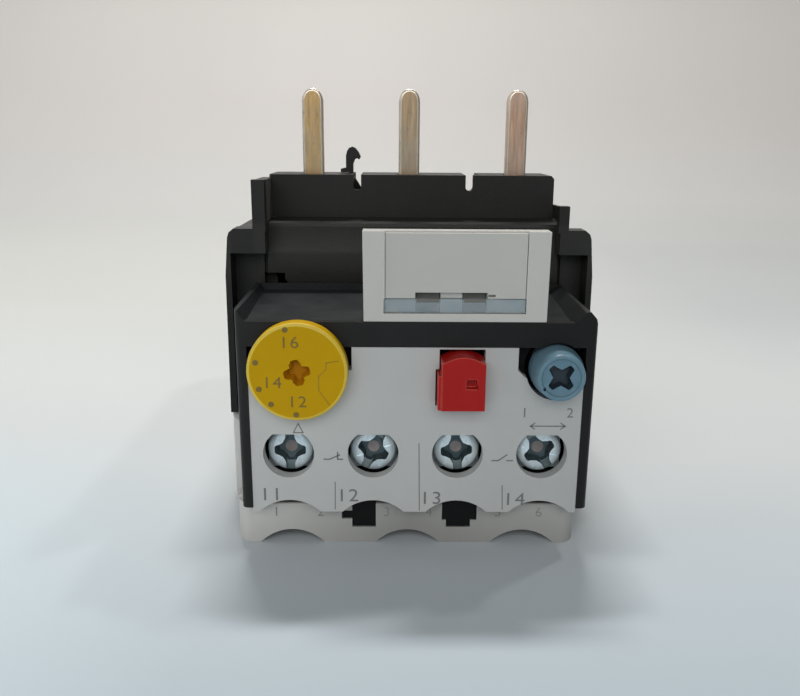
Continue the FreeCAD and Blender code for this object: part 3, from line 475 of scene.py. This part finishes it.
# ------------------------------------------------------------------ carried CAD nodes
def dress(name, mat, bevel=0.0, segments=2, angle=30, edge=None):
    o = NODES[name]
    o.data.materials.clear()
    o.data.materials.append(mat)
    if "custom_normal" in o.data.attributes:
        o.data.attributes.remove(o.data.attributes["custom_normal"])
    w = o.modifiers.new("weld", "WELD")
    w.merge_threshold = 2e-6
    if bevel > 0:
        d = o.modifiers.new("flat", "DECIMATE")
        d.decimate_type = "DISSOLVE"
        d.angle_limit = math.radians(0.8)
        b = o.modifiers.new("round", "BEVEL")
        b.width = bevel * MM
        b.segments = segments
        b.limit_method = "ANGLE"
        b.angle_limit = math.radians(angle)
        b.use_clamp_overlap = True
        b.miter_outer = "MITER_ARC"
        b.harden_normals = True
        # painted highlight: the bevel faces take the lighter edge material
        if edge is not None:
            o.data.materials.append(edge)
            b.material = 1
    for p in o.data.polygons:
        p.use_smooth = True
    if bevel <= 0:
        n = o.modifiers.new("normals", "WEIGHTED_NORMAL")
        n.weight = 60
        n.keep_sharp = True
    return o


dress("base_housing", M["base"], 0.22, 3, edge=M["base_edge_highlight"])
dress("rear_housing", M["black2"], 0.2, 3, edge=M["black2_edge"])
dress("rear_cover", M["black2"], 0.2, 2, edge=M["black2_edge"])
dress("front_housing", M["black"], 0.15, 2, edge=M["black_edge_highlight"])
dress("aux_terminal_panel", M["panel"], 0.14, 3, edge=M["panel_edge_highlight"])
dress("aux_terminal_block", M["dark"], 0.1, 1)
dress("mechanism_frame", M["dark"], 0.1, 1)
dress("label_holder", M["white"], 0.09, 3, edge=M["white_edge"])
dress("label_insert", M["card"], 0.03, 2)
dress("label_window", M["clear"], 0.08, 2)
dress("contactor_hook", M["black2"], 0.12, 2)
for k in (1, 2, 3):
    dress("line_blade_l%d" % k, M["blade%d" % k], 0.34, 4, edge=M["blade_edge"])
    dress("bimetal_strip_l%d" % k, M["bimetal"])
    dress("heater_winding_l%d" % k, M["heater"], 0.08, 1)
    dress("load_bar_t%d" % k, M["copper"], 0.1, 1)
for n in ("main_clamp_plates", "aux_clamp_plates"):
    dress(n, M["zinc"], 0.1, 2)
for n in ("housing_screws", "main_terminal_screws"):
    dress(n, M["zinc"], 0.08, 2)
dress("aux_terminal_screws", M["zinc"])
for n in ("aux_bars_nc", "aux_bars_no", "contact_bridge_nc", "contact_bridge_no"):
    dress(n, M["brass"], 0.06, 1)
for n in ("adjusting_lever_pin", "reset_lever_pin", "trip_lever_pin"):
    dress(n, M["steel"])
dress("compensation_strip", M["bimetal"])
for n in ("pole_barriers", "setting_cam", "adjusting_lever", "reset_plunger", "reset_lever", "trip_slide", "differential_slide", "trip_lever", "contact_carrier"):
    dress(n, M["cream"], 0.08, 1)
dress("setting_dial", M["yellow"])
dress("reset_knob", M["blue"])
dress("test_button", M["red"], 0.15, 3, edge=M["red_edge"])
for n in ("reset_spring", "test_spring"):
    dress(n, M["steel"])


# ------------------------------------------------------------------ auxiliary terminal screws
def join_bm(objs, name, body="root"):
    bm = bmesh.new()
    mats = []
    for o in objs:
        for m in o.data.materials:
            if m not in mats:
                mats.append(m)
    for o in objs:
        start = len(bm.faces)
        bm.from_mesh(o.data)
        bm.faces.ensure_lookup_table()
        index = [mats.index(m) for m in o.data.materials]
        for f in bm.faces[start:]:
            f.material_index = index[min(f.material_index, len(index) - 1)]
    me = bpy.data.meshes.new(name)
    bm.to_mesh(me)
    bm.free()
    out = bpy.data.objects.new(name, me)
    bpy.context.scene.collection.objects.link(out)
    for m in mats:
        me.materials.append(m)
    for o in objs:
        old = o.data
        bpy.data.objects.remove(o)
        bpy.data.meshes.remove(old)
    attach(out, body)
    return out


def star(cx, cz, y0, y1, span, arm, core, span1, arm1, core1, turn):
    # a four-armed recess with tapered arms: the outline shrinks from (span, arm, core) to the bottom values
    def ring(y, s, a, c):
        pts = []
        for k in range(4):
            t = math.pi / 2 * k
            for px, pz in ((c, -c), (s * 0.72, -a * 1.12), (s * 0.93, -a * 0.92), (s, -a * 0.55), (s, a * 0.55), (s * 0.93, a * 0.92), (s * 0.72, a * 1.12)):
                pts.append((cx + px * math.cos(t) - pz * math.sin(t), y, cz + px * math.sin(t) + pz * math.cos(t)))
        return [bm.verts.new(p) for p in pts]
    bm = bmesh.new()
    a = ring(y0, span / 2, arm / 2, core / 2)
    b = ring(y1, span1 / 2, arm1 / 2, core1 / 2)
    n = len(a)
    bm.faces.new(a)
    bm.faces.new(list(reversed(b)))
    for i in range(n):
        j = (i + 1) % n
        bm.faces.new((a[i], b[i], b[j], a[j]))
    bmesh.ops.triangulate(bm, faces=[f for f in bm.faces if len(f.verts) > 4])
    return turned(bm, cx, cz, turn)


AUX_X = (-13.35, -4.08, 5.18, 14.45)
AUX_Z = 11.6
screws = []
for k, (x, turn) in enumerate(zip(AUX_X, (0, -25, 5, 30))):
    prof = [(0, -34.0), (1.2, -34.0), (1.75, -33.97), (2.1, -33.88), (2.36, -33.7), (2.51, -33.46), (2.57, -33.2), (2.57, -32.62), (2.45, -32.5), (2.45, -32.2), (1.5, -32.2), (1.5, -32.0)]
    y = -32.0
    while y < -26.4:                      # thread: crest and root by turns
        prof += [(1.45, y + 0.12), (1.45, y + 0.2), (1.22, y + 0.34), (1.22, y + 0.4)]
        y += 0.5
    prof += [(1.3, y + 0.1), (1.0, -25.6), (0, -25.6)]
    o = finish_mesh("screw%d" % k, bm_lathe_y(x, AUX_Z, prof, 72), M["zinc"], None, smooth=False)
    o.data.materials.append(M["zinc_in"])
    # painted shade in the slot and the cross recess, and a painted reflection on the recess floor
    slot_cut = turned(bm_box(x - 0.5, x + 0.5, -35, -33.22, AUX_Z - 3, AUX_Z + 3), x, AUX_Z, turn)
    carve(o, [slot_cut], M["zinc_slot_shade"])
    carve(o, [star(x, AUX_Z, -34.3, -32.75, 3.7, 1.12, 1.75, 2.7, 0.8, 1.4, turn)], M["zinc_in"])
    carve(o, [turned(bm_lathe_y(x, AUX_Z, [(0, -33.0), (0.8, -33.0), (0.66, -32.66), (0, -32.6)], 28), x, AUX_Z, turn)], M["zinc_floor_reflection"])
    for a in (45, 135, 225, 315):         # the four ticks between the arms
        t = math.radians(a)
        tick = turned(bm_box(x + 1.3, x + 2.02, -35, -33.86, AUX_Z - 0.09, AUX_Z + 0.09), x, AUX_Z, turn + a)
        carve(o, [tick], M["zinc_tick"])
    smooth_all(o, 0.55)
    screws.append(o)
screw_set = join_bm(screws, "aux_terminal_screw_set")
b = screw_set.modifiers.new("round", "BEVEL")
b.width = 0.06 * MM
b.segments = 2
b.limit_method = "ANGLE"
b.angle_limit = 0.7
b.harden_normals = True
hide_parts("aux_terminal_screws")

# ------------------------------------------------------------------ setting dial
DX, DZ, DR = -11.95, 21.6, 5.3
prof = [(0, -37.5), (1.7, -37.5), (2.4, -37.5), (3.2, -37.5), (4.0, -37.5), (4.6, -37.5), (4.88, -37.5), (4.96, -37.5), (5.12, -37.46), (5.25, -37.36), (5.3, -37.2), (5.3, -35.8), (5.2, -35.65), (2.6, -35.65), (2.6, -33.5), (1.5, -33.5), (1.5, -29.5), (1.4, -29.4), (0, -29.4)]
dial = finish_mesh("setting_dial_disc", bm_lathe_y(DX, DZ, prof, 144), M["yellow"], None, smooth=False)
# painted highlight: the rounded rim takes the lighter dial edge colour
dial.data.materials.append(M["yellow_edge"])
for f in dial.data.polygons:
    if -37.499 * MM < f.center.y < -37.1 * MM:
        f.material_index = 1
# painted shade: the cross recess takes a darker orange
carve(dial, [star(DX, DZ, -37.7, -36.3, 2.95, 0.98, 1.32, 2.0, 0.6, 0.8, 12)], M["yellow_in"])
carve(dial, [turned(bm_box(DX - 0.62, DX + 0.62, -38, -37.1, DZ - 1.05, DZ + 1.05), DX, DZ, 12)], M["yellow_in"])
smooth_all(dial, 0.45)
w = dial.modifiers.new("normals", "WEIGHTED_NORMAL")
w.weight = 80
w.keep_sharp = True
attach(dial, "setting_dial")
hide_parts("setting_dial")

# ------------------------------------------------------------------ reset knob
KX, KZ = 15.6, 21.27
prof = [(0, -37.72), (1.92, -37.72), (2.0, -37.76), (2.06, -37.93), (2.16, -38.0), (2.34, -38.0), (2.46, -37.95), (2.53, -37.82), (2.62, -37.1), (2.84, -35.7), (2.85, -34.0), (1.25, -34.0), (1.25, -36.2), (0, -36.2)]
knob = finish_mesh("reset_knob_cap", bm_lathe_y(KX, KZ, prof, 120), M["blue"], None, smooth=False)
# painted shade: the cross recess and the index hole take a dark blue
carve(knob, [star(KX, KZ, -38.3, -36.75, 3.6, 0.9, 1.4, 2.5, 0.62, 0.95, 45)], M["blue_in"])
carve(knob, [bm_lathe_y(KX - 1.72, KZ - 1.22, [(0, -38.4), (0.17, -38.4), (0.17, -37.6), (0, -37.6)], 20)], M["blue_in"])
smooth_all(knob, 0.5)
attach(knob, "reset_knob")
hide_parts("reset_knob")


# ------------------------------------------------------------------ springs
def spring(name, cx, cz, r, wire, y0, y1, turns, node, body="root"):
    # round wire, end coils closed, both ends ground flat by their own rounding
    length = (y1 - y0) - 2 * wire
    steps = int(turns * 40)
    sides = 12
    bm = bmesh.new()
    rings = []
    for i in range(steps + 1):
        u = i / steps
        lead = 0.16
        if u < lead:
            f = 0.08 * u / lead
        elif u > 1 - lead:
            f = 1 - 0.08 * (1 - u) / lead
        else:
            f = 0.08 + 0.84 * (u - lead) / (1 - 2 * lead)
        a = 2 * math.pi * turns * u
        c = Vector((cx + r * math.cos(a), y0 + wire + length * f, cz + r * math.sin(a)))
        radial = Vector((math.cos(a), 0, math.sin(a)))
        side = Vector((0, 1, 0))
        rings.append([bm.verts.new(c + radial * wire * math.cos(2 * math.pi * k / sides) + side * wire * math.sin(2 * math.pi * k / sides)) for k in range(sides)])
    for p, q in zip(rings, rings[1:]):
        for k in range(sides):
            j = (k + 1) % sides
            bm.faces.new((p[k], p[j], q[j], q[k]))
    bm.faces.new(rings[0])
    bm.faces.new(list(reversed(rings[-1])))
    o = finish_mesh(name, bm, M["steel"], body, smooth=True, weld=False)
    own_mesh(o)
    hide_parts(node)
    return o


spring("reset_return_spring", KX, KZ, 2.0, 0.28, -33.9, -29.42, 5.5, "reset_spring")
spring("test_return_spring", 5.45, 20.35, 1.75, 0.22, -33.85, -29.42, 5.5, "test_spring")


# ------------------------------------------------------------------ printed marks, thin slabs on the surfaces
def stroke(bm, y, points, width, thick=0.012):
    # a polyline of given width on the plane y, facing the front
    h = width / 2
    for (x0, z0), (x1, z1) in zip(points, points[1:]):
        dx, dz = x1 - x0, z1 - z0
        n = math.hypot(dx, dz)
        ux, uz = dx / n, dz / n
        pts = [(x0 - ux * h * 0.5 - uz * h, z0 - uz * h * 0.5 + ux * h), (x0 - ux * h * 0.5 + uz * h, z0 - uz * h * 0.5 - ux * h),
               (x1 + ux * h * 0.5 + uz * h, z1 + uz * h * 0.5 - ux * h), (x1 + ux * h * 0.5 - uz * h, z1 + uz * h * 0.5 + ux * h)]
        bm_prism_y(pts, y - thick, y + 0.004, bm)
    return bm


def marks(name, bm, mat, body="root"):
    return finish_mesh(name, bm, mat, body, smooth=False, weld=False)


def digits(name, text, x, z, height, y, mat, body="root", turn=0.0, wide=1.0, bold=0.0):
    # plain numbers: built as curves, kept as thin meshes
    cu = bpy.data.curves.new(name, "FONT")
    cu.body = text
    cu.size = height / 0.70 * MM
    cu.align_x, cu.align_y = "CENTER", "CENTER"
    cu.extrude = 0.008 * MM
    cu.offset = bold * MM
    cu.space_character = 1.12
    cu.resolution_u = 6
    t = bpy.data.objects.new(name + "_curve", cu)
    bpy.context.scene.collection.objects.link(t)
    bpy.context.view_layer.update()
    me = bpy.data.meshes.new_from_object(t.evaluated_get(bpy.context.evaluated_depsgraph_get()))
    bpy.data.objects.remove(t)
    bpy.data.curves.remove(cu)
    me.name = name
    ys = [v.co.y for v in me.vertices]
    mid = (min(ys) + max(ys)) / 2
    rot = Matrix.Rotation(math.radians(turn), 3, "Y")
    for v in me.vertices:
        p = Vector((v.co.x * wide, -v.co.z, v.co.y - mid))
        v.co = rot @ p + Vector((x * MM, (y - 0.004) * MM, z * MM))
    o = bpy.data.objects.new(name, me)
    bpy.context.scene.collection.objects.link(o)
    me.materials.clear()
    me.materials.append(mat)
    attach(o, body)
    return o


PANEL_Y, BASE_Y, DIAL_Y = -35.4, -33.5, -37.5
bm = bmesh.new()
stroke(bm, PANEL_Y, [(-8.29, 8.4), (-8.32, 5.1)], 0.10)
stroke(bm, PANEL_Y, [(0.94, 13.0), (1.08, 4.95)], 0.10)
stroke(bm, PANEL_Y, [(10.25, 8.05), (10.37, 5.1)], 0.10)
marks("mark_panel_dividers", bm, M["ink"])
for k, (x, z) in enumerate(((-15.45, 6.9), (-6.92, 6.8), (2.34, 6.5), (11.65, 6.4))):
    digits("mark_terminal_%d" % (k + 1), ("11", "12", "13", "14")[k], x, z, 1.5, PANEL_Y, M["ink"], wide=1.1)
# contact symbols: normally closed on the left, normally open on the right
bm = bmesh.new()
stroke(bm, PANEL_Y, [(-9.5, 11.1), (-8.85, 11.1)], 0.15)
stroke(bm, PANEL_Y, [(-8.85, 11.1), (-7.75, 11.62)], 0.15)
stroke(bm, PANEL_Y, [(-7.98, 11.95), (-7.98, 11.1)], 0.15)
stroke(bm, PANEL_Y, [(-7.98, 11.1), (-7.4, 11.1)], 0.15)
marks("mark_contact_closed", bm, M["ink"])
bm = bmesh.new()
stroke(bm, PANEL_Y, [(9.0, 11.0), (9.7, 11.0)], 0.15)
stroke(bm, PANEL_Y, [(9.7, 11.0), (10.65, 11.7)], 0.15)
stroke(bm, PANEL_Y, [(10.62, 11.0), (11.3, 11.0)], 0.15)
marks("mark_contact_open", bm, M["ink"])
# pointer under the dial
bm = bmesh.new()
stroke(bm, PANEL_Y, [(-12.75, 14.2), (-11.7, 14.2), (-12.22, 15.25), (-12.75, 14.2)], 0.12)
marks("mark_pointer", bm, M["ink"])
# positions of the reset knob and its double arrow
digits("mark_reset_1", "1", 12.35, 16.6, 1.1, PANEL_Y, M["ink"])
digits("mark_reset_2", "2", 17.3, 16.6, 1.1, PANEL_Y, M["ink"])
bm = bmesh.new()
stroke(bm, PANEL_Y, [(13.1, 15.05), (16.8, 15.05)], 0.13)
stroke(bm, PANEL_Y, [(13.55, 15.4), (13.05, 15.05), (13.55, 14.7)], 0.13)
stroke(bm, PANEL_Y, [(16.35, 15.4), (16.85, 15.05), (16.35, 14.7)], 0.13)
marks("mark_reset_arrow", bm, M["ink"])
for k, x in enumerate((-15.2, -10.15, -2.57, 2.25, 10.17, 14.87)):
    digits("mark_lower_%d" % (k + 1), str(k + 1), x, 3.85, 1.15, BASE_Y, M["ink_low"])
# printed pads on the two catches of the label holder
for k, (a, b) in enumerate(((0.49, 2.9), (5.44, 7.79))):
    finish_mesh("pad_%d" % (k + 1), bm_box(a, b, -34.16, -34.09, 28.3, 29.68), M["pad"], "root", bevel=0.025, segments=2)
    finish_mesh("pad_low_%d" % (k + 1), bm_box(a, b, -35.13, -35.09, 28.66, 29.0), M["pad"], "root", bevel=0.012, segments=2)
# dial scale: dots, numbers, angled line
bm = bmesh.new()
for x, z in ((-13.06, 26.2), (-16.22, 22.69), (-15.95, 19.8), (-14.73, 18.15), (-12.12, 17.0)):
    bm_prism_y([(x + 0.31 * math.cos(2 * math.pi * i / 20), z + 0.31 * math.sin(2 * math.pi * i / 20)) for i in range(20)], DIAL_Y - 0.012, DIAL_Y + 0.004, bm)
marks("mark_dial_dots", bm, M["ink_dial"], "setting_dial")
for k, (t, x, z, a) in enumerate((("16", -12.66, 24.88, 0), ("14", -14.55, 20.55, 0), ("12", -11.98, 18.45, 0))):
    digits("mark_dial_%d" % (k + 1), t, x, z, 1.22, DIAL_Y, M["ink_dial"], "setting_dial", a, wide=1.12)
bm = bmesh.new()
stroke(bm, DIAL_Y, [(-7.6, 22.9), (-8.9, 22.7), (-8.9, 22.0), (-9.7, 21.2), (-9.7, 19.7), (-8.6, 18.1)], 0.08)
marks("mark_dial_line", bm, M["ink_line"], "setting_dial")


# ------------------------------------------------------------------ stage: floor, light, camera
def stage_material():
    # matt paper with painted light and shade: cooler and darker near the front, warmer up the back, a little darker to
    # the right; faint cloudiness
    m, nt, bsdf = tree("backdrop")
    v = coords(nt)
    sep = nt.nodes.new("ShaderNodeSeparateXYZ")
    nt.links.new(v, sep.inputs[0])
    along = maths(nt, "ADD", sep.outputs[1], sep.outputs[2])
    t = nt.nodes.new("ShaderNodeMapRange")
    t.inputs["From Min"].default_value, t.inputs["From Max"].default_value = -0.08, 0.62
    nt.links.new(along, t.inputs["Value"])
    col = ramp(nt, t.outputs[0], [(0.0, (0.41, 0.50, 0.565)), (0.05, (0.54, 0.605, 0.65)), (0.10, (0.655, 0.685, 0.695)), (0.157, (0.68, 0.705, 0.70)), (0.27, (0.645, 0.65, 0.63)),
                                  (0.54, (0.59, 0.595, 0.578)), (0.81, (0.615, 0.59, 0.575)), (0.96, (0.655, 0.63, 0.605))])
    r = nt.nodes.new("ShaderNodeMapRange")
    r.inputs["From Min"].default_value, r.inputs["From Max"].default_value = -0.02, 0.16
    nt.links.new(sep.outputs[0], r.inputs["Value"])
    col = mix(nt, col, ramp(nt, r.outputs[0], [(0.0, 1.0), (1.0, 0.9)]), 1.0, "MULTIPLY")
    # painted shade: a dim patch on the right, behind the body
    side = nt.nodes.new("ShaderNodeMapRange")
    side.inputs["From Min"].default_value, side.inputs["From Max"].default_value = 0.025, 0.09
    nt.links.new(sep.outputs[0], side.inputs["Value"])
    patch = maths(nt, "MULTIPLY", side.outputs[0], ramp(nt, t.outputs[0], [(0.13, 0.0), (0.24, 1.0), (0.42, 0.75), (0.6, 0.0)]))
    col = mix(nt, col, mix(nt, col, (0.84, 0.86, 0.9), 1.0, "MULTIPLY"), patch)
    # painted light: a lighter patch on the floor at the front left
    near = nt.nodes.new("ShaderNodeMapRange")
    near.inputs["From Min"].default_value, near.inputs["From Max"].default_value = -0.02, -0.065
    nt.links.new(sep.outputs[0], near.inputs["Value"])
    painted_light = maths(nt, "MULTIPLY", near.outputs[0], ramp(nt, t.outputs[0], [(0.0, 0.9), (0.07, 0.9), (0.12, 0.0)]))
    col = mix(nt, col, (0.66, 0.765, 0.82), painted_light)
    n = noise(nt, v, 9, 3)
    col = mix(nt, col, ramp(nt, n, [(0.3, 0.975), (0.7, 1.0)]), 1.0, "MULTIPLY")
    nt.links.new(col, bsdf.inputs["Base Color"])
    bsdf.inputs["Roughness"].default_value = 0.7
    bsdf.inputs["Specular IOR Level"].default_value = 0.2
    bump(nt, bsdf, noise(nt, v, 260, 4, 0.6), 0.05, 0.0004)
    return m


bm = bmesh.new()
prof = [(-0.9, 0.0)] + [(0.25, 0.0)]
for k in range(1, 13):
    a = k / 12 * math.pi / 2
    prof.append((0.25 + 0.25 * math.sin(a), 0.25 - 0.25 * math.cos(a)))
prof.append((0.5, 1.6))
rows = []
for y, z in prof:
    rows.append([bm.verts.new((x, y, z)) for x in (-1.6, 1.6)])
for a, b in zip(rows, rows[1:]):
    bm.faces.new((a[0], a[1], b[1], b[0]))
me = bpy.data.meshes.new("sweep")
bm.to_mesh(me)
bm.free()
sweep = bpy.data.objects.new("sweep", me)
bpy.context.scene.collection.objects.link(sweep)
for p in me.polygons:
    p.use_smooth = True
me.materials.append(stage_material())


def area(name, loc, target, size, power, colour=(1, 1, 1)):
    d = bpy.data.lights.new(name, "AREA")
    d.shape = "RECTANGLE"
    d.size, d.size_y = size
    d.energy = power
    d.color = colour
    o = bpy.data.objects.new(name, d)
    bpy.context.scene.collection.objects.link(o)
    o.location = loc
    o.rotation_mode = "QUATERNION"
    o.rotation_quaternion = (Vector(target) - Vector(loc)).to_track_quat("-Z", "Y")
    return o


area("key", (-0.015, 0.28, 0.70), (0.0, 0.0, 0.0), (0.24, 0.05), 3.45, (1.0, 0.99, 0.97))
area("side", (0.376, 0.25, 0.70), (0, 0, 0.0), (0.05, 0.05), 0.65, (1.0, 0.99, 0.97))
area("soft", (-0.30, 0.34, 0.64), (0, 0, 0.02), (0.6, 0.5), 0.42, (1.0, 1.0, 1.0))
area("left", (-0.75, -0.1, 0.35), (0, 0, 0.02), (0.5, 0.5), 0.8, (0.98, 0.99, 1.0))
area("front", (-0.06, -0.8, 0.46), (0, 0, 0.02), (1.1, 0.5), 4.2, (1.0, 1.0, 0.985))

world = bpy.data.worlds.new("soft")
bpy.context.scene.world = world
world.use_nodes = True
bg = world.node_tree.nodes["Background"]
bg.inputs[0].default_value = (1.0, 0.99, 0.97, 1)
bg.inputs[1].default_value = 0.07

cam_data = bpy.data.cameras.new("camera")
cam = bpy.data.objects.new("camera", cam_data)
bpy.context.scene.collection.objects.link(cam)
bpy.context.scene.camera = cam
cam_data.sensor_width = 36.0
cam_data.lens = 790.769 / 800 * 36.0
cam_data.clip_start, cam_data.clip_end = 0.005, 20
cam.rotation_euler = (1.3111364583432936, -0.007083947428218249, -0.008098905256813116)
cam.location = (-2.0212739550119 * MM, -116.3478294693049 * MM, 45.29353765373328 * MM)
